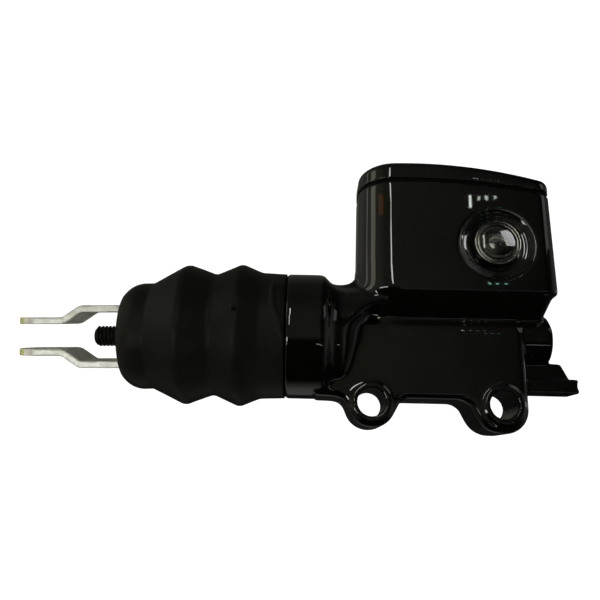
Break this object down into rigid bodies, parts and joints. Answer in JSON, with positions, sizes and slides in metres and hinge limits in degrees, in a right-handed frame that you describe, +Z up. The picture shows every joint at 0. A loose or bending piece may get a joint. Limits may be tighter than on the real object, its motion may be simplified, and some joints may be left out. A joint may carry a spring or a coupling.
{
  "type": "brake master cylinder",
  "caption": "Hydraulic brake master cylinder with integral reservoir, sight glass, rubber boot, pushrod and clevis.",
  "frame": {"origin": "midway between the two mounting holes, on the mounting face", "axes": "+X along the bore from the clevis to the outlet, +Y out of the mounting face, +Z up to the reservoir cover"},
  "size_m": [0.2117, 0.054, 0.1024],
  "materials": {
    "casting_paint": "gloss",
    "cover_paint": "gloss",
    "gasket_rubber": "matt",
    "screw_zinc": "satin",
    "sight_glass": "clear",
    "bezel_chrome": "polished",
    "seal_rubber": "matt",
    "ring_steel": "satin",
    "piston_aluminium": "turned",
    "seat_brass": "turned",
    "spring_steel": "satin",
    "rod_black_oxide": "black oxide",
    "nut_zinc": "zinc plated",
    "plate_zinc": "zinc plated",
    "clevis_zinc": "zinc plated",
    "boot_rubber": "matt",
    "bush_nylon": "matt"
  },
  "bodies": {
    "housing": {"body_casting": "casting_paint", "reservoir_cover": "cover_paint", "cover_gasket": "gasket_rubber", "cover_screws": "screw_zinc", "sight_lens": "sight_glass", "sight_bezel": "bezel_chrome", "sight_o_ring": "seal_rubber", "snap_ring": "ring_steel", "stop_washer": "ring_steel", "boot": "boot_rubber", "return_spring": "spring_steel"},
    "piston": {"piston": "piston_aluminium", "secondary_cup": "seal_rubber", "cup_shim": "ring_steel", "primary_cup": "seal_rubber", "spring_seat": "seat_brass"},
    "boot_ring": {"mouth_bush": "bush_nylon"},
    "pushrod": {"pushrod": "rod_black_oxide", "jam_nut": "nut_zinc", "boot_plate": "plate_zinc", "clevis": "clevis_zinc"}
  },
  "joints": [
    {"name": "piston_slide", "type": "slide", "parent": "housing", "child": "piston", "axis": [1, 0, 0], "range_m": [0, 0.014], "stiffness_N_per_m": 1000, "springref_m": -0.015, "deforming": ["boot", "return_spring"]},
    {"name": "pushrod_tilt", "type": "hinge", "parent": "piston", "child": "boot_ring", "pos_m": [-0.058, -0.01, 0.0255], "axis": [0, 1, 0], "range_deg": [-1.75, 4.25], "stiffness_Nm_per_rad": 2.3, "springref_deg": 1.25, "deforming": ["boot"]},
    {"name": "pushrod_spin", "type": "hinge", "parent": "boot_ring", "child": "pushrod", "pos_m": [-0.058, -0.01, 0.0255], "axis": [0.9998, 0, 0.0218], "continuous": true}
  ]
}
